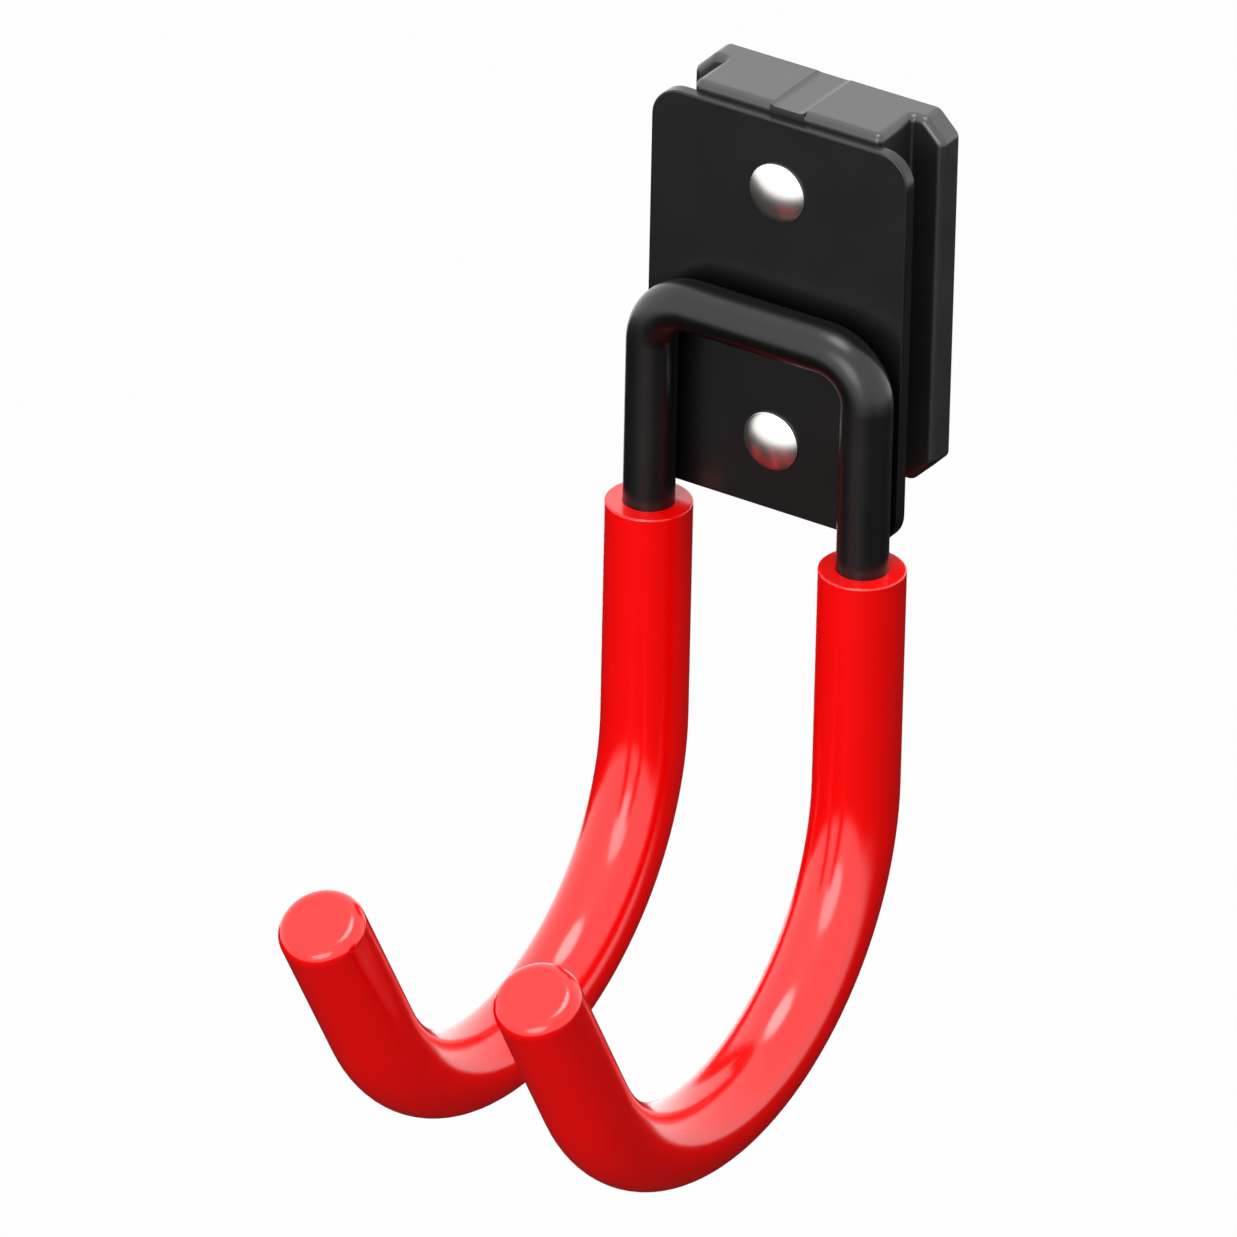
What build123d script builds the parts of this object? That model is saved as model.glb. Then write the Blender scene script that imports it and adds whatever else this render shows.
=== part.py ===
from build123d import *
import math
import os

# Double J hook on a slide-in cleat. Millimetres, +Z up, X across, the hook reaches out along -Y.
# The origin is the centre of the cleat's back face.

# Cleat: a T-shaped tongue, neck in front and flange behind
flange_width = 44.0
flange_thickness = 4.7
neck_width = 33.0
neck_depth = 8.8
cleat_height = 61.6
flange_corner_radius = 1.6
groove_radius = 0.5
cleat_rim_radius = 1.25
cleat_back_chamfer = 0.3
top_corner_cut = 3.4
lead_in = 4.0
notch_width = 6.0
notch_depth = 0.3
notch_side_slope = 30.0

# Cores moulded into the back of the cleat
core_side_wall = 3.0
core_top_wall = 4.0
core_front_wall = 3.6
core_rib = 2.4
core_corner_radius = 0.8
boss_wall = 1.5

# Plate
plate_width = 45.0
plate_height = 65.5
plate_thickness = 2.0
plate_corner_radius = 5.0
plate_edge_radius = 0.3
plate_below_cleat_top = 1.5

# Rivets
rivet_spacing = 42.0
rivet_shank = 4.8
rivet_hole_clearance = 0.1
rivet_head = 9.5
rivet_head_height = 1.9
rivet_head_rim = 0.35
rivet_tail = 8.2
rivet_tail_height = 2.2
rivet_tail_rim = 1.2
tail_recess_clearance = 1.1
tail_recess_depth = 4.2

# Round bar, bent into an upside-down U with a J on each leg
rod_diameter = 8.0
leg_spacing = 38.0
crossbar_bend_radius = 7.5
leg_drop = 72.0
hook_bend_radius = 40.0
hook_bend_angle = 150.0
rod_tip_length = 26.6
rod_end_chamfer = 0.6

# Sleeves
sleeve_wall = 2.7
sleeve_clearance = 0.05
sleeve_end_wall = 3.2
sleeve_tip_radius = 2.2
sleeve_mouth_radius = 0.3
sleeve_below_plate = 2.4

# Weld under the crossbar: its height down the plate, and how far round the bar it reaches
weld_height = 4.6
weld_reach_angle = 55.0
weld_bulge = 0.25
weld_length = 20.0

# Places that follow from the sizes above
cleat_depth = neck_depth + flange_thickness
cleat_top = cleat_height / 2
cleat_bottom = -cleat_height / 2
neck_front = -cleat_depth
plate_front = neck_front - plate_thickness
plate_top = cleat_top - plate_below_cleat_top
plate_middle = plate_top - plate_height / 2
plate_bottom = plate_top - plate_height
rivet_heights = {"upper": plate_middle + rivet_spacing / 2, "lower": plate_middle - rivet_spacing / 2}
rivet_hole = rivet_shank + 2 * rivet_hole_clearance
tail_recess = rivet_tail + 2 * tail_recess_clearance
recess_floor = -tail_recess_depth
rod_axis = plate_front - rod_diameter / 2
bend_start = plate_middle - leg_drop
sleeve_top = plate_bottom - sleeve_below_plate
sleeve_bore = rod_diameter + 2 * sleeve_clearance
sleeve_diameter = sleeve_bore + 2 * sleeve_wall


def facing_front(y, z=0.0):
    """A drawing plane at depth y that faces -Y, with its drawing's x along X and y along Z."""
    return Plane(origin=(0, y, z), x_dir=(1, 0, 0), z_dir=(0, -1, 0))


# The plate
def back_plate():
    blank = facing_front(neck_front, plate_middle) * RectangleRounded(plate_width, plate_height, plate_corner_radius)
    plate = extrude(blank, plate_thickness)
    plate = fillet(plate.faces().sort_by(Axis.Y)[0].edges(), plate_edge_radius)
    for height in rivet_heights.values():
        plate -= extrude(facing_front(neck_front, height) * Circle(rivet_hole / 2), plate_thickness)
    return plate


# The cleat
def flange():
    """The wide part, with small cuts at its top corners and longer lead-ins at its bottom corners."""
    half = flange_width / 2
    outline = make_face(Polyline(
        (lead_in - half, cleat_bottom), (half - lead_in, cleat_bottom), (half, cleat_bottom + lead_in),
        (half, cleat_top - top_corner_cut), (half - top_corner_cut, cleat_top),
        (top_corner_cut - half, cleat_top), (-half, cleat_top - top_corner_cut),
        (-half, cleat_bottom + lead_in), close=True))
    slab = extrude(facing_front(0) * outline, flange_thickness)
    return fillet(slab.edges().filter_by(Axis.Y), flange_corner_radius)


def neck():
    """The narrow part, which starts inside the flange and ends at the plate."""
    start = -flange_thickness / 2
    return extrude(facing_front(start) * Rectangle(neck_width, cleat_height), cleat_depth + start)


def tongue():
    """Neck and flange as one, with a rounded groove in each corner and a rounded rim in front."""
    def in_groove(edge):
        beside = abs(abs(edge.center().X) - neck_width / 2) < groove_radius + 0.01
        return beside and abs(edge.center().Y + flange_thickness) < groove_radius + 0.01

    shape = flange() + neck()
    shape = fillet(shape.edges().filter_by(Axis.Z).filter_by(in_groove), groove_radius)
    upright = shape.edges().filter_by(Axis.Z).filter_by(in_groove)
    front = shape.edges().filter_by(lambda edge: edge.center().Y < 0.01 - flange_thickness)
    shape = fillet([edge for edge in front if edge not in upright], cleat_rim_radius)
    return chamfer(shape.faces().sort_by(Axis.Y)[-1].edges(), cleat_back_chamfer)


def cleat_cores():
    """Pockets from the back between the walls, the ribs and the rivet bosses."""
    width = neck_width / 2 - core_side_wall - core_rib / 2
    offset = core_rib / 2 + width / 2
    levels = [rivet_heights["lower"], plate_middle, rivet_heights["upper"], cleat_top - core_top_wall + core_rib / 2]
    pockets = Sketch()
    for low, high in zip(levels, levels[1:]):
        height = high - low - core_rib
        for side in (-1, 1):
            pockets += Pos(side * offset, (low + high) / 2) * RectangleRounded(width, height, core_corner_radius)
    for height in rivet_heights.values():
        pockets -= Pos(0, height) * Circle(tail_recess / 2 + boss_wall)
    return extrude(facing_front(0) * pockets, cleat_depth - core_front_wall)


def top_notch():
    """The outline of a shallow channel across the cleat's top. Its hollow sides end in a slope at the edges."""
    slope = math.radians(notch_side_slope)
    side_radius = notch_depth / (1 - math.cos(slope))
    edge, floor_edge = notch_width / 2, notch_width / 2 - side_radius * math.sin(slope)
    start = (math.cos(slope), -math.sin(slope))
    left = TangentArc((-edge, 0), (-floor_edge, -notch_depth), tangent=start)
    right = mirror(left, Plane.YZ)
    bottom = Line((-floor_edge, -notch_depth), (floor_edge, -notch_depth))
    return facing_front(0, cleat_top) * make_face([left, bottom, right, Line((edge, 0), (-edge, 0))])


def notch_lip():
    """A square front edge under the channel, where the rim around it is rounded."""
    size = cleat_rim_radius
    return Pos(0, neck_front + size / 2, cleat_top - size / 2) * Box(notch_width, size, size)


def slide_cleat():
    cleat = tongue() + notch_lip()
    cleat -= extrude(top_notch(), cleat_depth)
    cleat -= cleat_cores()
    for height in rivet_heights.values():
        cleat -= extrude(facing_front(0, height) * Circle(tail_recess / 2), tail_recess_depth)
        cleat -= extrude(facing_front(0, height) * Circle(rivet_hole / 2), cleat_depth)
    return cleat


# The rivets
def rivet(height):
    """Domed head on the plate, shank through both pieces and a formed tail in the cleat's recess."""
    head_top = plate_front - rivet_head_height
    head_edge = plate_front - rivet_head_rim
    tail_top = recess_floor + rivet_tail_height
    tail_edge = recess_floor + rivet_tail_rim
    head, shank, tail = rivet_head / 2, rivet_shank / 2, rivet_tail / 2
    outline = [
        TangentArc((0, head_top), (head, head_edge), tangent=(1, 0)),
        Polyline((head, head_edge), (head, plate_front), (shank, plate_front), (shank, recess_floor),
                 (tail, recess_floor), (tail, tail_edge)),
        TangentArc((0, tail_top), (tail, tail_edge), tangent=(1, 0)),
        Line((0, tail_top), (0, head_top)),
    ]
    return Pos(0, 0, height) * revolve(make_face(outline), Axis.Y)


# The bar and its sleeves
def hook_point(side, turn):
    """A point on the hook's bend, turned so many degrees from the leg."""
    angle = math.radians(turn)
    forward = rod_axis - hook_bend_radius * (1 - math.cos(angle))
    return Vector(side * leg_spacing / 2, forward, bend_start - hook_bend_radius * math.sin(angle))


def tip_point(side, length):
    """A point on the straight tip, so far past the end of the bend."""
    angle = math.radians(hook_bend_angle)
    return hook_point(side, hook_bend_angle) + Vector(0, -math.sin(angle), -math.cos(angle)) * length


def hook_path(side, top, tip):
    """Down a leg from height top, round the bend and up the tip."""
    bend = ThreePointArc(hook_point(side, 0), hook_point(side, hook_bend_angle / 2), hook_point(side, hook_bend_angle))
    leg = Line((side * leg_spacing / 2, rod_axis, top), hook_point(side, 0))
    return [leg, bend, Line(hook_point(side, hook_bend_angle), tip_point(side, tip))]


def crossbar_path():
    """The bar across the plate with the bends at its two ends."""
    corner, reach = leg_spacing / 2, leg_spacing / 2 - crossbar_bend_radius
    low = plate_middle - crossbar_bend_radius
    half = crossbar_bend_radius * math.sqrt(0.5)
    bends = [ThreePointArc((side * corner, rod_axis, low), (side * (reach + half), rod_axis, low + half),
                           (side * reach, rod_axis, plate_middle)) for side in (-1, 1)]
    return [bends[0], Line((-reach, rod_axis, plate_middle), (reach, rod_axis, plate_middle)), bends[1]]


def round_bar(edges, start, direction, diameter):
    return sweep(Plane(origin=start, z_dir=direction) * Circle(diameter / 2), path=Wire(edges))


def hook_rod():
    top = plate_middle - crossbar_bend_radius
    left, right = (hook_path(side, top, rod_tip_length) for side in (-1, 1))
    edges = left[::-1] + crossbar_path() + right
    start = tip_point(-1, rod_tip_length)
    rod = round_bar(edges, start, hook_point(-1, hook_bend_angle) - start, rod_diameter)
    ends = [f.edges() for f in rod.faces().filter_by(GeomType.PLANE)]
    return chamfer([e for edges in ends for e in edges], rod_end_chamfer)


def sleeve(side):
    """A closed-end tube over the leg, the bend and the tip."""
    start = Vector(side * leg_spacing / 2, rod_axis, sleeve_top)
    outer_path = hook_path(side, sleeve_top, rod_tip_length + sleeve_end_wall)
    tube = round_bar(outer_path, start, (0, 0, -1), sleeve_diameter)
    tube = fillet(tube.faces().filter_by(GeomType.PLANE).sort_by(Axis.Y)[0].edges(), sleeve_tip_radius)
    tube = fillet(tube.faces().filter_by(GeomType.PLANE).sort_by(Axis.Y)[-1].edges(), sleeve_mouth_radius)
    bore_path = hook_path(side, sleeve_top, rod_tip_length + sleeve_clearance)
    return tube - round_bar(bore_path, start, (0, 0, -1), sleeve_bore)


# The weld
def crossbar_weld():
    """A fillet in the corner between the underside of the crossbar and the plate."""
    angle = math.radians(weld_reach_angle)
    radius = rod_diameter / 2
    toe = Vector(plate_front, plate_middle - weld_height)
    top = Vector(rod_axis + radius * math.cos(angle), plate_middle - radius * math.sin(angle))
    chord = toe - top
    middle = (toe + top) / 2 + Vector(chord.Y, -chord.X).normalized() * weld_bulge
    root = Vector(plate_front, plate_middle)
    section = make_face([Line(root, toe), ThreePointArc(toe, middle, top), Line(top, root)])
    section -= Pos(rod_axis, plate_middle) * Circle(radius)
    side_view = Plane(origin=(-weld_length / 2, 0, 0), x_dir=(0, 1, 0), z_dir=(1, 0, 0))
    return extrude(side_view * section, weld_length)


pieces = {
    "back_plate": back_plate(),
    "slide_cleat": slide_cleat(),
    "upper_rivet": rivet(rivet_heights["upper"]),
    "lower_rivet": rivet(rivet_heights["lower"]),
    "hook_rod": hook_rod(),
    "left_sleeve": sleeve(-1),
    "right_sleeve": sleeve(1),
    "crossbar_weld": crossbar_weld(),
}

os.makedirs("parts", exist_ok=True)
for name, piece in pieces.items():
    export_step(piece, f"parts/{name}.step")
    print(f"{name}: {len(piece.solids())} solid, {piece.volume:.0f} mm3")
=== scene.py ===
import math

import bmesh
import bpy
from bpy.props import FloatProperty, FloatVectorProperty, PointerProperty
from mathutils import Euler, Matrix, Vector


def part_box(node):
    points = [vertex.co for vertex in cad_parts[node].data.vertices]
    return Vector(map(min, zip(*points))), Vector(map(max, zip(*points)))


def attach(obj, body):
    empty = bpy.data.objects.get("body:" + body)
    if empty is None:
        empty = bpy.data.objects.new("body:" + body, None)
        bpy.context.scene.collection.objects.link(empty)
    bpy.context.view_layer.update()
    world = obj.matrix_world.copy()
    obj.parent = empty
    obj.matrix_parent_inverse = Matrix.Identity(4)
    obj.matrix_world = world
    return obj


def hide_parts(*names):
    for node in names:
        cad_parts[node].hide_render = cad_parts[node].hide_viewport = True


bl_info = {
    "name": "Double J Hook",
    "version": (1, 0, 0),
    "blender": (4, 5, 0),
    "location": "3D View > Sidebar > J Hook",
    "description": "Finishes a powder-coated double J hook with vinyl sleeves and lights its studio",
    "category": "Object",
}

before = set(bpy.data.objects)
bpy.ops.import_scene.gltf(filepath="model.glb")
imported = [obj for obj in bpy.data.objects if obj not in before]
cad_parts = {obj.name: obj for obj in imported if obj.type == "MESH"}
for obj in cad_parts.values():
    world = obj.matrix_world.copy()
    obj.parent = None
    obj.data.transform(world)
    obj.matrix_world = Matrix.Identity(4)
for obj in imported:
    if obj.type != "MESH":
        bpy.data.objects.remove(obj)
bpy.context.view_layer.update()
MM = 0.001

# Steps along the weld bead, over its face and along its hidden back
BEAD_STEPS = 240
FACE_STEPS = 14
BACK_STEPS = 5
# What is left of the bead's full section at its ends
END_SHARE = 0.55
# From the bar's axis down to the bead's toe on the plate, in radii of the bar
TOE_REACH = 1.15
# How far a crescent curves along the bead at the edges of its face, in pitches
CRESCENT_CURVE = 0.35
# How far round the bar, from its line of contact with the plate, the hidden back of the bead stops
BACK_ANGLE = math.radians(12)
# Between the hidden back of the bead and the steel
BACK_CLEARANCE = 0.01 * MM
# Smooth shading breaks at edges that turn more than this
BEAD_SHARP_ANGLE = math.radians(50)
RIVET_SHARP_ANGLE = math.radians(35)

# Steps over the domes of a rivet, and round the turned shapes
HEAD_STEPS = 32
TAIL_STEPS = 24
RIVET_TURN_STEPS = 96
TENT_TURN_STEPS = 48

# How much of the floor shows as plain white. The rest is lit paper, which keeps the shadow
WHITE_SHARE = 0.98
# The painted-reflection tent's own floor lies over the paper, and the card of painted dark reflection over
# the tent's floor, in metres
TENT_LIFT = 0.01
CARD_LIFT = 0.005
# Radius at which the turned tent closes at its middle
TENT_POLE = 0.001
# The lamps stand round the middle of the hook
LAMP_AIM = Vector((0, -0.06, -0.04))
LAMP_DISTANCE = 1.5
# Name, direction from the hook, diameter, radiance, and whether the gloss mirrors the lamp. The gloss leaves
# out the banks, because the tent stands there
LAMPS = (
    ("key_softbox", (0.2, -0.93, 0.3), 0.94, 4.6, True),
    ("overhead_softbox", (0.04, -0.12, 0.99), 0.78, 7.3, True),
    ("front_bank", (0, -0.7, 0.7), 2.0, 1.2, False),
    ("back_bank", (0, 0.75, 0.66), 2.0, 1.7, False),
)


def linear(hex_colour):
    """Turns an sRGB hex colour into the linear values that Blender's sockets take."""
    values = [int(hex_colour[i:i + 2], 16) / 255 for i in (1, 3, 5)]
    return [v / 12.92 if v <= 0.04045 else ((v + 0.055) / 1.055) ** 2.4 for v in values]


def colour(name, description, hex_colour):
    """A colour property with an sRGB hex colour as its default."""
    return FloatVectorProperty(name=name, description=description, subtype="COLOR", size=3,
                               min=0.0, max=1.0, default=linear(hex_colour))


def add_node(tree, kind, settings=None, inputs=None):
    """Adds a node with its settings. Each input is a value, or the output socket that feeds it."""
    node = tree.nodes.new(kind)
    for name, value in (settings or {}).items():
        setattr(node, name, value)
    for name, value in (inputs or {}).items():
        if isinstance(value, bpy.types.NodeSocket):
            tree.links.new(value, node.inputs[name])
        else:
            node.inputs[name].default_value = value
    return node


def new_material(name):
    """Gives a material's empty node tree and its output node."""
    material = bpy.data.materials.new(name)
    material.use_nodes = True
    material.node_tree.nodes.clear()
    output = add_node(material.node_tree, "ShaderNodeOutputMaterial")
    return material, material.node_tree, output


def black_powder_coat(props):
    """Polyester powder coat baked on steel: a dense black film with a fine orange peel and a satin sheen."""
    material, tree, output = new_material("satin_black_powder_coat")
    place = add_node(tree, "ShaderNodeTexCoord").outputs["Object"]
    # Orange peel, about 0.9 mm from bump to bump
    peel = add_node(tree, "ShaderNodeTexNoise", inputs={
        "Vector": place, "Scale": 1 / (0.9 * MM), "Detail": 2.0})
    # Patches where the film is a little thicker, about 12 mm across
    patches = add_node(tree, "ShaderNodeTexNoise", inputs={
        "Vector": place, "Scale": 1 / (12 * MM), "Detail": 3.0})
    tone = add_node(tree, "ShaderNodeMapRange", inputs={
        "Value": patches.outputs["Fac"], "To Min": 0.85, "To Max": 1.15})
    shade = add_node(tree, "ShaderNodeVectorMath", {"operation": "SCALE"},
                     {0: list(props.coat_colour), "Scale": tone.outputs["Result"]})
    gloss = add_node(tree, "ShaderNodeMapRange", inputs={
        "Value": patches.outputs["Fac"],
        "To Min": props.coat_roughness - 0.04, "To Max": props.coat_roughness + 0.04})
    bump = add_node(tree, "ShaderNodeBump", inputs={
        "Height": peel.outputs["Fac"], "Strength": 0.25, "Distance": 0.02 * MM})
    shader = add_node(tree, "ShaderNodeBsdfPrincipled", inputs={
        "Base Color": shade.outputs["Vector"], "Roughness": gloss.outputs["Result"],
        "Normal": bump.outputs["Normal"],
        # The film's fine texture mirrors a little less than the default of 0.5
        "Specular IOR Level": 0.40})
    tree.links.new(shader.outputs["BSDF"], output.inputs["Surface"])
    return material


def black_nylon(props):
    """Injection-moulded nylon: deep grey-black with the fine grain of a spark-eroded mould."""
    material, tree, output = new_material("moulded_black_nylon")
    place = add_node(tree, "ShaderNodeTexCoord").outputs["Object"]
    # Mould grain, drawn at 0.35 mm because the real 0.1 mm grain is too fine to show
    grain = add_node(tree, "ShaderNodeTexNoise", inputs={
        "Vector": place, "Scale": 1 / (0.35 * MM), "Detail": 3.0})
    # Flow of the melt, about 9 mm across
    flow = add_node(tree, "ShaderNodeTexNoise", inputs={
        "Vector": place, "Scale": 1 / (9 * MM), "Detail": 2.0, "Distortion": 0.6})
    tone = add_node(tree, "ShaderNodeMapRange", inputs={
        "Value": flow.outputs["Fac"], "To Min": 0.85, "To Max": 1.15})
    shade = add_node(tree, "ShaderNodeVectorMath", {"operation": "SCALE"},
                     {0: list(props.nylon_colour), "Scale": tone.outputs["Result"]})
    gloss = add_node(tree, "ShaderNodeMapRange", inputs={
        "Value": flow.outputs["Fac"],
        "To Min": props.nylon_roughness - 0.05, "To Max": props.nylon_roughness + 0.05})
    bump = add_node(tree, "ShaderNodeBump", inputs={
        "Height": grain.outputs["Fac"], "Strength": 0.3, "Distance": 0.02 * MM})
    shader = add_node(tree, "ShaderNodeBsdfPrincipled", inputs={
        "Base Color": shade.outputs["Vector"], "Roughness": gloss.outputs["Result"],
        "Normal": bump.outputs["Normal"],
        # Above nylon's own 0.53, to match how light the cleat's top is in the photo
        "Specular IOR Level": 0.75})
    tree.links.new(shader.outputs["BSDF"], output.inputs["Surface"])
    return material


def bright_rivet_steel(props):
    """Cold-headed steel with nickel plate: a soft mirror, with the faint marks of the heading die."""
    material, tree, output = new_material("bright_nickel_plated_steel")
    place = add_node(tree, "ShaderNodeTexCoord").outputs["Object"]
    # Die marks, about 0.4 mm across
    marks = add_node(tree, "ShaderNodeTexNoise", inputs={
        "Vector": place, "Scale": 1 / (0.4 * MM), "Detail": 4.0})
    gloss = add_node(tree, "ShaderNodeMapRange", inputs={
        "Value": marks.outputs["Fac"],
        "To Min": props.nickel_roughness - 0.03, "To Max": props.nickel_roughness + 0.05})
    bump = add_node(tree, "ShaderNodeBump", inputs={
        "Height": marks.outputs["Fac"], "Strength": 0.08, "Distance": 0.01 * MM})
    shader = add_node(tree, "ShaderNodeBsdfPrincipled", inputs={
        "Base Color": [*props.nickel_colour, 1.0], "Roughness": gloss.outputs["Result"],
        "Normal": bump.outputs["Normal"], "Metallic": 1.0})
    tree.links.new(shader.outputs["BSDF"], output.inputs["Surface"])
    return material


def red_vinyl(props):
    """Extruded soft PVC: saturated red, glossy, with the slow ripple of a soft tube pulled over the bar."""
    material, tree, output = new_material("glossy_red_vinyl")
    place = add_node(tree, "ShaderNodeTexCoord").outputs["Object"]
    # Extrusion ripple, about 6 mm from crest to crest
    ripple = add_node(tree, "ShaderNodeTexNoise", inputs={
        "Vector": place, "Scale": 1 / (6 * MM), "Detail": 2.0})
    # Skin of the plasticised surface, about 0.5 mm
    skin = add_node(tree, "ShaderNodeTexNoise", inputs={
        "Vector": place, "Scale": 1 / (0.5 * MM), "Detail": 2.0})
    tone = add_node(tree, "ShaderNodeMapRange", inputs={
        "Value": ripple.outputs["Fac"], "To Min": 0.95, "To Max": 1.04})
    shade = add_node(tree, "ShaderNodeVectorMath", {"operation": "SCALE"},
                     {0: list(props.vinyl_colour), "Scale": tone.outputs["Result"]})
    gloss = add_node(tree, "ShaderNodeMapRange", inputs={
        "Value": skin.outputs["Fac"],
        "To Min": props.vinyl_roughness - 0.03, "To Max": props.vinyl_roughness + 0.03})
    slow = add_node(tree, "ShaderNodeBump", inputs={
        "Height": ripple.outputs["Fac"], "Strength": 0.3, "Distance": 0.05 * MM})
    fine = add_node(tree, "ShaderNodeBump", inputs={
        "Height": skin.outputs["Fac"], "Strength": 0.15, "Distance": 0.01 * MM,
        "Normal": slow.outputs["Normal"]})
    shader = add_node(tree, "ShaderNodeBsdfPrincipled", inputs={
        "Base Color": shade.outputs["Vector"], "Roughness": gloss.outputs["Result"],
        "Normal": fine.outputs["Normal"],
        # PVC bends light a little more than the default of 0.5 stands for
        "Specular IOR Level": 0.6})
    tree.links.new(shader.outputs["BSDF"], output.inputs["Surface"])
    return material


class JHOOK_PG_finish(bpy.types.PropertyGroup):
    """Colours and gloss of the four materials"""
    coat_colour: colour("Powder coat", "Colour of the plate, the bar and the weld", "#070707")
    coat_roughness: FloatProperty(name="Coat roughness", default=0.30, min=0.05, max=1.0,
                                  description="How much the powder coat blurs what it reflects",
                                  subtype="FACTOR")
    nylon_colour: colour("Nylon", "Colour of the moulded cleat", "#181818")
    nylon_roughness: FloatProperty(name="Nylon roughness", default=0.34, min=0.05, max=1.0,
                                   description="How much the cleat blurs what it reflects",
                                   subtype="FACTOR")
    nickel_colour: colour("Nickel", "Colour of the rivets' plating", "#ccc9c6")
    nickel_roughness: FloatProperty(name="Nickel roughness", default=0.3, min=0.04, max=1.0,
                                    description="How much the rivets blur what they reflect",
                                    subtype="FACTOR")
    vinyl_colour: colour("Vinyl", "Colour of the two sleeves", "#f00000")
    vinyl_roughness: FloatProperty(name="Vinyl roughness", default=0.17, min=0.05, max=1.0,
                                   description="How much the sleeves blur what they reflect",
                                   subtype="FACTOR")


class JHOOK_PG_weld(bpy.types.PropertyGroup):
    """Sizes of the weld bead"""
    bar_diameter: FloatProperty(name="Bar diameter", description="Diameter of the bar that the weld holds",
                                default=8 * MM, min=1 * MM, unit="LENGTH")
    ripple_pitch: FloatProperty(name="Ripple pitch", description="From one crescent of the bead to the next",
                                default=1.5 * MM, min=0.2 * MM, unit="LENGTH")
    ripple_height: FloatProperty(name="Ripple height", description="How high the crescents stand",
                                 default=0.12 * MM, min=0.0, unit="LENGTH")
    crown: FloatProperty(name="Crown", description="How far the bead bulges over a straight fillet",
                         default=0.3 * MM, min=0.0, unit="LENGTH")
    run_out: FloatProperty(name="Run-out", default=2.5 * MM, min=0.5 * MM, unit="LENGTH",
                           description="Length over which the bead grows to its full section at its ends")


class JHOOK_PG_rivets(bpy.types.PropertyGroup):
    """Sizes of the rivets that their CAD boxes do not give"""
    shank: FloatProperty(name="Shank", description="Diameter of the shank",
                         default=4.8 * MM, min=1 * MM, unit="LENGTH")
    head_rim: FloatProperty(name="Head rim", description="Height of the upright rim round the head",
                            default=0.35 * MM, min=0.05 * MM, unit="LENGTH")
    edge_round: FloatProperty(name="Edge round", default=0.15 * MM, min=0.01 * MM, unit="LENGTH",
                              description="Width over which the dome of the head rolls into its rim")
    tail: FloatProperty(name="Tail", description="Diameter of the formed tail",
                        default=8.2 * MM, min=1 * MM, unit="LENGTH")
    tail_height: FloatProperty(name="Tail height", description="How far the formed tail stands off its seat",
                               default=2.2 * MM, min=0.2 * MM, unit="LENGTH")
    tail_rim: FloatProperty(name="Tail rim", description="Height of the upright rim round the formed tail",
                            default=1.2 * MM, min=0.1 * MM, unit="LENGTH")


class JHOOK_PG_studio(bpy.types.PropertyGroup):
    """The floor, the tent and the card of painted reflection, and the camera"""
    floor_drop: FloatProperty(name="Floor drop", description="How far the floor lies under the origin",
                              default=0.6, min=0.15, unit="LENGTH")
    floor_size: FloatProperty(name="Floor size", description="Side of the square floor",
                              default=16.0, min=1.0, unit="LENGTH")
    floor_colour: colour("Floor", "Colour of the paper on the floor, as it lights the hook", "#989898")
    ambient: FloatProperty(name="Ambient", description="Light from all round", default=0.43, min=0.0)
    # The tent is painted reflection: it glows, though it is no lamp, and only the gloss sees it
    tent_radius: FloatProperty(name="Tent radius", description="From the hook to the wall of the light tent",
                               default=3.2, min=2.7, unit="LENGTH")
    tent_painted_glow: FloatProperty(name="Tent glow", default=1.9, min=0.0,
                             description="How bright the tent is where the hook mirrors it")
    # The card is painted dark reflection: a near-black glowing sheet that only the gloss sees
    card_reach: FloatVectorProperty(name="Card reach", size=4, unit="LENGTH", default=(3.1, 3.1, 1.75, 1.7),
                                    description="How far the dark card under the hook reaches to the left, "
                                    "the right, the front and the back")
    card_fade: FloatVectorProperty(name="Card fade", size=2, unit="LENGTH", default=(1.9, 0.7),
                                   description="Width of the card's soft edge at the right and the front")
    card_cut: FloatVectorProperty(name="Card cut", size=2, unit="LENGTH", default=(-0.55, 0.62),
                                  description="X and Y of the inner corner of the part that is cut away "
                                  "from the card, at its back and left")
    card_painted_glow: FloatProperty(name="Card glow", default=0.02, min=0.0,
                             description="How bright the card is where the hook mirrors it")
    camera_place: FloatVectorProperty(name="Camera place", description="Where the camera stands",
                                      subtype="TRANSLATION", unit="LENGTH",
                                      default=(1.10657, -1.81811, 1.11773))
    camera_turn: FloatVectorProperty(name="Camera turn", subtype="EULER",
                                     description="How the camera is turned, as XYZ Euler angles",
                                     default=[math.radians(a) for a in (60.9756, -1.0260, 32.7212)])
    lens: FloatProperty(name="Lens", description="Focal length in millimetres on a 36 mm sensor",
                        default=465.42, min=10.0)


def finish_nodes(nodes, material):
    """Gives the CAD meshes of some nodes one material."""
    for name in nodes:
        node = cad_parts[name]
        node.data.materials.clear()
        node.data.materials.append(material)


class JHOOK_OT_coated_steel(bpy.types.Operator):
    """Powder coats the plate and the bar"""
    bl_idname = "jhook.coated_steel"
    bl_label = "Coat Steel"

    def execute(self, context):
        finish_nodes(["back_plate", "hook_rod"], black_powder_coat(context.scene.jhook_finish))
        return {"FINISHED"}


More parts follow.
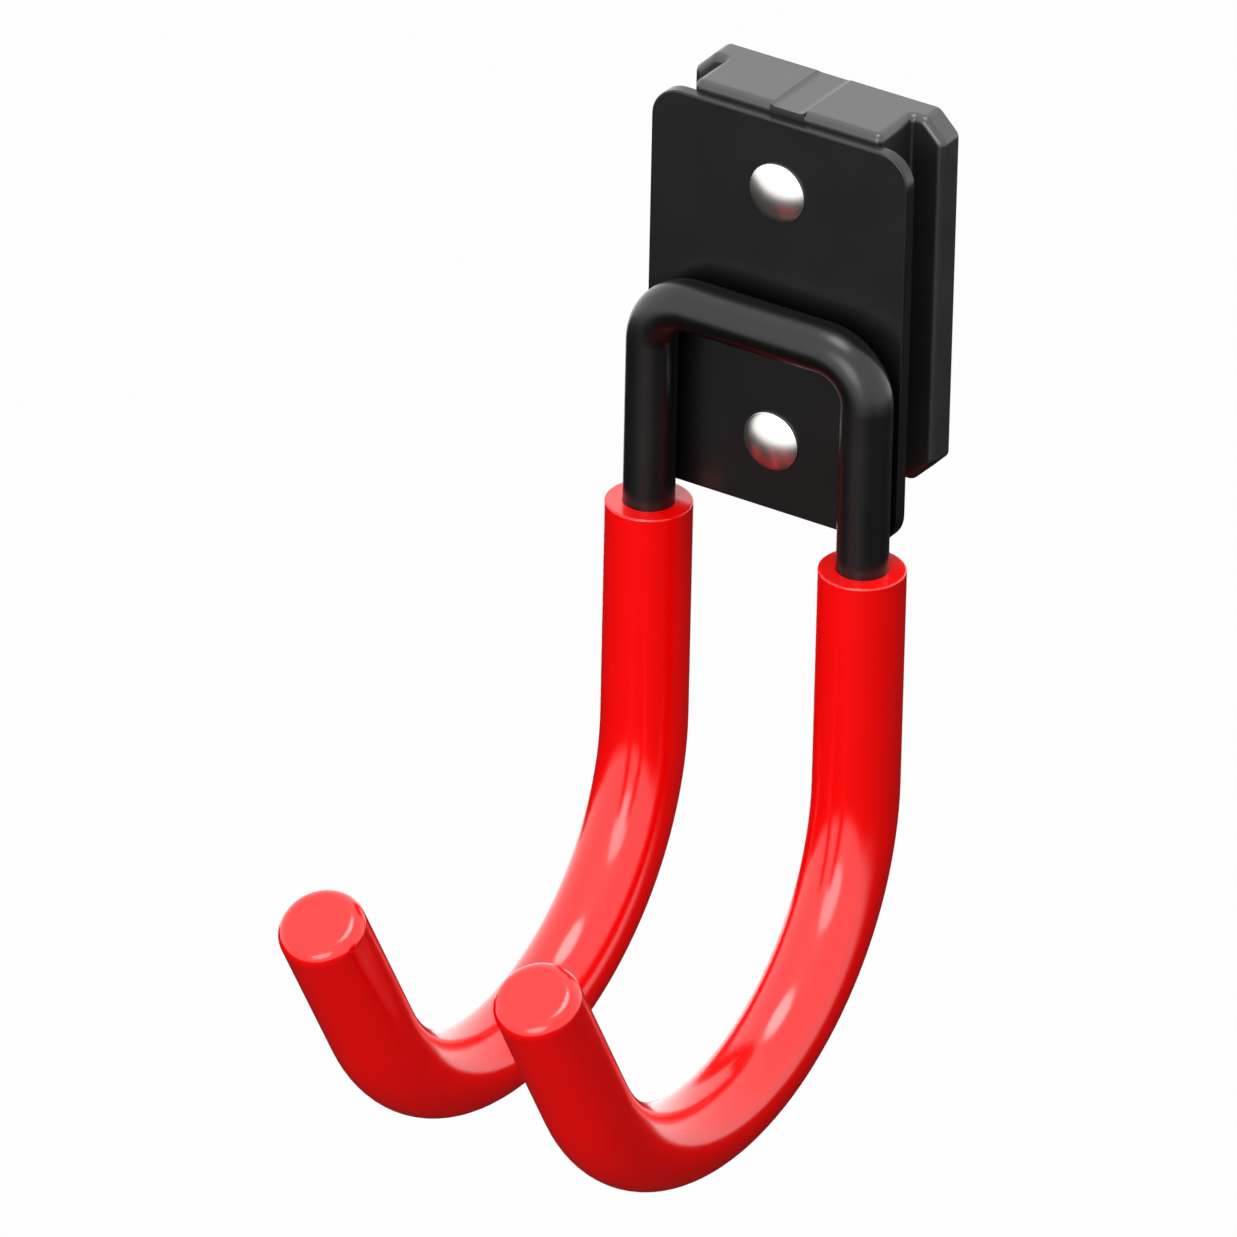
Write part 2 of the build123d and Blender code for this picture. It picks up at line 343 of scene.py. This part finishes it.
def bead_section(x, props, plate_face, bar_axis, half_length, reach):
    """One closed ring of the bead at x: over its face from the plate to the bar, and back behind it."""
    radius = props.bar_diameter / 2
    into_end = max(0.0, abs(x) - half_length + props.run_out) / props.run_out
    fullness = END_SHARE + (1 - END_SHARE) * math.sqrt(max(0.0, 1 - into_end ** 2))
    angle = math.acos(1 - reach / radius) * fullness
    toe = Vector((0, plate_face, bar_axis.z - TOE_REACH * radius * fullness))
    top = bar_axis + Vector((0, math.cos(angle), -math.sin(angle))) * radius
    chord = top - toe
    outward = Vector((0, chord.z, -chord.y)).normalized() * -1
    points = []
    for i in range(FACE_STEPS + 1):
        t = i / FACE_STEPS
        wave = math.cos(2 * math.pi * (x / props.ripple_pitch + CRESCENT_CURVE * (2 * t - 1) ** 2))
        swell = props.crown * 4 * t * (1 - t) + props.ripple_height * wave * math.sin(math.pi * t)
        points.append(toe + chord * t + outward * swell * fullness)
    for i in range(1, BACK_STEPS + 1):
        a = angle + (BACK_ANGLE - angle) * i / BACK_STEPS
        points.append(bar_axis + Vector((0, math.cos(a), -math.sin(a))) * (radius + BACK_CLEARANCE))
    points.append(Vector((0, plate_face - BACK_CLEARANCE, points[-1].z)))
    points.append(Vector((0, plate_face - BACK_CLEARANCE, (points[-1].z + toe.z) / 2)))
    return [Vector((x, p.y, p.z)) for p in points]


class JHOOK_OT_weld_bead(bpy.types.Operator):
    """Builds the weld bead under the crossbar, with the crescents that the weld pool leaves as it sets"""
    bl_idname = "jhook.weld_bead"
    bl_label = "Build Weld Bead"

    def execute(self, context):
        props = context.scene.jhook_weld
        low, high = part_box("crossbar_weld")
        plate_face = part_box("back_plate")[0][1]
        radius = props.bar_diameter / 2
        bar_axis = Vector((0, plate_face - radius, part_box("hook_rod")[1][2] - radius))
        half_length = (high[0] - low[0]) / 2
        shape = bmesh.new()
        rings = []
        for i in range(BEAD_STEPS + 1):
            x = half_length * (2 * i / BEAD_STEPS - 1)
            section = bead_section(x, props, plate_face, bar_axis, half_length, plate_face - low[1])
            rings.append([shape.verts.new(point) for point in section])
        for near, far in zip(rings, rings[1:]):
            for j in range(len(near)):
                shape.faces.new((near[j - 1], near[j], far[j], far[j - 1]))
        shape.faces.new(rings[0])
        shape.faces.new(rings[-1][::-1])
        bmesh.ops.recalc_face_normals(shape, faces=shape.faces)
        mesh = bpy.data.meshes.new("crossbar_weld_bead")
        shape.to_mesh(mesh)
        shape.free()
        mesh.shade_smooth()
        mesh.set_sharp_from_angle(angle=BEAD_SHARP_ANGLE)
        bead = bpy.data.objects.new("crossbar_weld_bead", mesh)
        context.scene.collection.objects.link(bead)
        mesh.materials.append(black_powder_coat(context.scene.jhook_finish))
        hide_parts("crossbar_weld")
        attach(bead, "root")
        return {"FINISHED"}


class JHOOK_OT_cleat(bpy.types.Operator):
    """Finishes the moulded cleat"""
    bl_idname = "jhook.cleat"
    bl_label = "Finish Cleat"

    def execute(self, context):
        finish_nodes(["slide_cleat"], black_nylon(context.scene.jhook_finish))
        return {"FINISHED"}


def lathe(name, profile, steps):
    """A mesh turned about Z from a profile of radius and height. It faces inwards where the profile rises."""
    mesh = bpy.data.meshes.new(name)
    shape = bmesh.new()
    rings = []
    for radius, height in profile:
        angles = [2 * math.pi * i / steps for i in range(steps)]
        rings.append([shape.verts.new((radius * math.cos(a), radius * math.sin(a), height)) for a in angles])
    for low, high in zip(rings, rings[1:]):
        for i in range(steps):
            shape.faces.new((low[i], high[i], high[i - steps + 1], low[i - steps + 1]))
    bmesh.ops.remove_doubles(shape, verts=shape.verts, dist=0.0001 * MM)
    shape.to_mesh(mesh)
    shape.free()
    return bpy.data.objects.new(name, mesh)


def dome(radius, height, top, steps):
    """Points of a spherical cap from its apex at the height called top down to its edge."""
    ball = (radius ** 2 + height ** 2) / (2 * height)
    widest = math.asin(radius / ball)
    angles = [widest * i / steps for i in range(steps + 1)]
    return [(ball * math.sin(a), top - ball * (1 - math.cos(a))) for a in angles]


class JHOOK_OT_rivets(bpy.types.Operator):
    """Builds the two rivets: a domed head, the shank, and the tail that was formed in the cleat's recess"""
    bl_idname = "jhook.rivets"
    bl_label = "Build Rivets"

    def execute(self, context):
        props = context.scene.jhook_rivets
        seat = -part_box("back_plate")[0][1]
        material = bright_rivet_steel(context.scene.jhook_finish)
        for node in ("upper_rivet", "lower_rivet"):
            low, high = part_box(node)
            head, front, back = (high[0] - low[0]) / 2, -low[1], -high[1]
            shank, tail, roll = props.shank / 2, props.tail / 2, props.edge_round
            tail_seat = back + props.tail_height
            head_dome = dome(head, front - seat - props.head_rim, front, HEAD_STEPS)
            edge_radius, edge_height = head - roll, seat + props.head_rim - roll / 2
            profile = [point for point in head_dome if point[0] < edge_radius]
            profile += [(edge_radius + roll * math.sin(a), edge_height + roll / 2 * math.cos(a))
                        for a in (math.radians(30), math.radians(60), math.radians(90))]
            profile += [(head, seat), (shank, seat), (shank, tail_seat), (tail, tail_seat)]
            tail_dome = dome(tail, props.tail_height - props.tail_rim, 0.0, TAIL_STEPS)
            profile += [(radius, back - height) for radius, height in reversed(tail_dome)]
            rivet = lathe(node + "_turned", profile, RIVET_TURN_STEPS)
            rivet.data.transform(Matrix.Rotation(math.radians(90), 4, "X"))
            rivet.data.transform(Matrix.Translation(((low[0] + high[0]) / 2, 0, (low[2] + high[2]) / 2)))
            rivet.data.shade_smooth()
            rivet.data.set_sharp_from_angle(angle=RIVET_SHARP_ANGLE)
            rivet.data.materials.append(material)
            context.scene.collection.objects.link(rivet)
            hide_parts(node)
            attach(rivet, "root")
        return {"FINISHED"}


class JHOOK_OT_sleeves(bpy.types.Operator):
    """Finishes the two sleeves"""
    bl_idname = "jhook.sleeves"
    bl_label = "Finish Sleeves"

    def execute(self, context):
        finish_nodes(["left_sleeve", "right_sleeve"], red_vinyl(context.scene.jhook_finish))
        return {"FINISHED"}


def softbox(name, direction, width, radiance, mirrored):
    """A round lamp that faces the hook from a direction. A radiance of 1 shows as white."""
    lamp = bpy.data.lights.new(name, "AREA")
    lamp.shape = "DISK"
    lamp.size = width
    lamp.energy = radiance * math.pi ** 2 * (width / 2) ** 2
    holder = bpy.data.objects.new(name, lamp)
    holder.location = LAMP_AIM + Vector(direction).normalized() * LAMP_DISTANCE
    holder.rotation_euler = (LAMP_AIM - holder.location).to_track_quat("-Z", "Y").to_euler()
    holder.visible_glossy = mirrored
    bpy.context.scene.collection.objects.link(holder)


def mirrored_only(thing, name, glow, edge_glow=None, edges=()):
    """Makes a stage piece of painted reflection, which glows though it is no lamp and only shows in
    reflections. Its glow is even, apart from soft edges.

    Each edge names an axis, where on it the glow starts to change and where it has become the edge glow.
    """
    material, tree, output = new_material(name)
    strength = glow
    if edges:
        place = add_node(tree, "ShaderNodeNewGeometry").outputs["Position"]
        axes = add_node(tree, "ShaderNodeSeparateXYZ", inputs={"Vector": place}).outputs
        ramps = [add_node(tree, "ShaderNodeMapRange", {"interpolation_type": "SMOOTHSTEP"}, {
            "Value": axes[axis], "From Min": start, "From Max": end, "To Min": glow, "To Max": edge_glow})
            for axis, start, end in edges]
        strength = ramps[0].outputs["Result"]
        for ramp in ramps[1:]:
            strength = add_node(tree, "ShaderNodeMath", {"operation": "MAXIMUM"},
                                {0: strength, 1: ramp.outputs["Result"]}).outputs[0]
    light = add_node(tree, "ShaderNodeEmission", inputs={"Strength": strength})
    tree.links.new(light.outputs["Emission"], output.inputs["Surface"])
    # It is no lamp, so no light is sampled from it
    material.cycles.emission_sampling = "NONE"
    thing.data.materials.append(material)
    thing.visible_camera = False
    thing.visible_diffuse = False
    thing.visible_transmission = False
    thing.visible_volume_scatter = False
    thing.visible_shadow = False
    bpy.context.scene.collection.objects.link(thing)


def seen_as_itself(tree):
    """An output of 1 for rays that show a thing, in view, mirrored or through glass, and 0 for others."""
    rays = add_node(tree, "ShaderNodeLightPath").outputs
    seen = add_node(tree, "ShaderNodeMath", {"operation": "MAXIMUM"},
                    {0: rays["Is Camera Ray"], 1: rays["Is Glossy Ray"]})
    seen = add_node(tree, "ShaderNodeMath", {"operation": "MAXIMUM"},
                    {0: seen.outputs[0], 1: rays["Is Transmission Ray"]})
    return seen.outputs[0]


def build_floor(props):
    """A floor of paper that is seen white, keeps the hook's shadow and is clear from below."""
    half = props.floor_size / 2
    mesh = bpy.data.meshes.new("floor")
    mesh.from_pydata([(-half, -half, -props.floor_drop), (half, -half, -props.floor_drop),
                      (half, half, -props.floor_drop), (-half, half, -props.floor_drop)], [], [(0, 1, 2, 3)])
    floor = bpy.data.objects.new("floor", mesh)
    bpy.context.scene.collection.objects.link(floor)
    material, tree, output = new_material("white_studio_floor")
    seen = seen_as_itself(tree)
    lit = add_node(tree, "ShaderNodeBsdfDiffuse", inputs={"Color": [*props.floor_colour, 1.0]})
    white = add_node(tree, "ShaderNodeEmission", inputs={"Strength": 1.0})
    share = add_node(tree, "ShaderNodeMath", {"operation": "MULTIPLY"}, {0: seen, 1: WHITE_SHARE})
    mixed = add_node(tree, "ShaderNodeMixShader", inputs={
        0: share.outputs[0], 1: lit.outputs[0], 2: white.outputs[0]})
    clear = add_node(tree, "ShaderNodeBsdfTransparent")
    under = add_node(tree, "ShaderNodeNewGeometry").outputs["Backfacing"]
    both = add_node(tree, "ShaderNodeMixShader", inputs={0: under, 1: mixed.outputs[0], 2: clear.outputs[0]})
    tree.links.new(both.outputs[0], output.inputs["Surface"])
    mesh.materials.append(material)


def build_surroundings(props):
    """A world that is seen white and lights the hook from all round at the ambient level."""
    world = bpy.data.worlds.new("white_surroundings")
    bpy.context.scene.world = world
    world.use_nodes = True
    tree = world.node_tree
    tree.nodes.clear()
    seen = seen_as_itself(tree)
    strength = add_node(tree, "ShaderNodeMapRange", inputs={
        "Value": seen, "To Min": props.ambient, "To Max": 1.0})
    sky = add_node(tree, "ShaderNodeBackground", inputs={
        "Color": [1, 1, 1, 1], "Strength": strength.outputs["Result"]})
    add_node(tree, "ShaderNodeOutputWorld", inputs={"Surface": sky.outputs["Background"]})


def build_painted_reflections(props):
    """Painted reflections: a tent that glows, though it is no lamp, and a dark card on its floor. Only the
    gloss sees them; they paint its highlights and its dark reflections.
    """
    floor_level = TENT_LIFT - props.floor_drop
    radius = props.tent_radius
    # Painted highlight: the tent glows, though it is no lamp, and only the gloss sees it
    # Floor, upright wall, sloping roof and crown
    tent = lathe("painted_reflection_tent", [(TENT_POLE, floor_level), (radius, floor_level), (radius, 0.4 * radius),
                                (0.7 * radius, 0.75 * radius), (TENT_POLE, 0.9 * radius)], TENT_TURN_STEPS)
    mirrored_only(tent, "painted_reflection_glow", props.tent_painted_glow)
    # Painted dark reflection: a near-black sheet that glows though it is no lamp, seen only in the gloss, its
    # right and front edges fading to the tent's painted glow
    left, right, front, back = props.card_reach
    cut_x, cut_y = props.card_cut
    level = floor_level + CARD_LIFT
    mesh = bpy.data.meshes.new("painted_dark_reflection_sheet")
    outline = [(-left, -front), (right, -front), (right, back),
               (cut_x, back), (cut_x, cut_y), (-left, cut_y)]
    mesh.from_pydata([(x, y, level) for x, y in outline], [], [tuple(range(len(outline)))])
    fade_right, fade_front = props.card_fade
    mirrored_only(bpy.data.objects.new("painted_dark_reflection_sheet", mesh), "painted_dark_reflection", props.card_painted_glow, props.tent_painted_glow,
                  [("X", right - fade_right, right), ("Y", fade_front - front, -front)])


def build_camera(props):
    """The camera of the photo, as it was fitted to it."""
    camera = bpy.data.objects.new("camera", bpy.data.cameras.new("camera"))
    camera.location = props.camera_place
    camera.rotation_euler = Euler(props.camera_turn)
    camera.data.sensor_width = 36.0
    camera.data.lens = props.lens
    camera.data.clip_end = 50.0
    bpy.context.scene.collection.objects.link(camera)
    bpy.context.scene.camera = camera


class JHOOK_OT_studio(bpy.types.Operator):
    """Makes the floor, the white surroundings, the tent and card of painted reflection, the lamps and the
    camera
    """
    bl_idname = "jhook.studio"
    bl_label = "Build Studio"

    def execute(self, context):
        props = context.scene.jhook_studio
        build_floor(props)
        build_surroundings(props)
        build_painted_reflections(props)
        for lamp in LAMPS:
            softbox(*lamp)
        build_camera(props)
        context.scene.view_settings.view_transform = "Standard"
        return {"FINISHED"}


operators = (JHOOK_OT_coated_steel, JHOOK_OT_weld_bead, JHOOK_OT_cleat, JHOOK_OT_rivets, JHOOK_OT_sleeves,
             JHOOK_OT_studio)


class JHOOK_PT_panel(bpy.types.Panel):
    """Lists the operators in the sidebar"""
    bl_idname = "JHOOK_PT_panel"
    bl_label = "Double J Hook"
    bl_space_type = "VIEW_3D"
    bl_region_type = "UI"
    bl_category = "J Hook"

    def draw(self, context):
        for operator in operators:
            self.layout.operator(operator.bl_idname)


classes = (JHOOK_PG_finish, JHOOK_PG_weld, JHOOK_PG_rivets, JHOOK_PG_studio, *operators, JHOOK_PT_panel)


def register():
    for item in classes:
        bpy.utils.register_class(item)
    bpy.types.Scene.jhook_finish = PointerProperty(type=JHOOK_PG_finish)
    bpy.types.Scene.jhook_weld = PointerProperty(type=JHOOK_PG_weld)
    bpy.types.Scene.jhook_rivets = PointerProperty(type=JHOOK_PG_rivets)
    bpy.types.Scene.jhook_studio = PointerProperty(type=JHOOK_PG_studio)


def unregister():
    del bpy.types.Scene.jhook_studio
    del bpy.types.Scene.jhook_rivets
    del bpy.types.Scene.jhook_weld
    del bpy.types.Scene.jhook_finish
    for item in reversed(classes):
        bpy.utils.unregister_class(item)


def main():
    register()
    bpy.ops.jhook.studio()
    bpy.ops.jhook.coated_steel()
    bpy.ops.jhook.weld_bead()
    bpy.ops.jhook.cleat()
    bpy.ops.jhook.rivets()
    bpy.ops.jhook.sleeves()


if __name__ == "__main__":
    main()
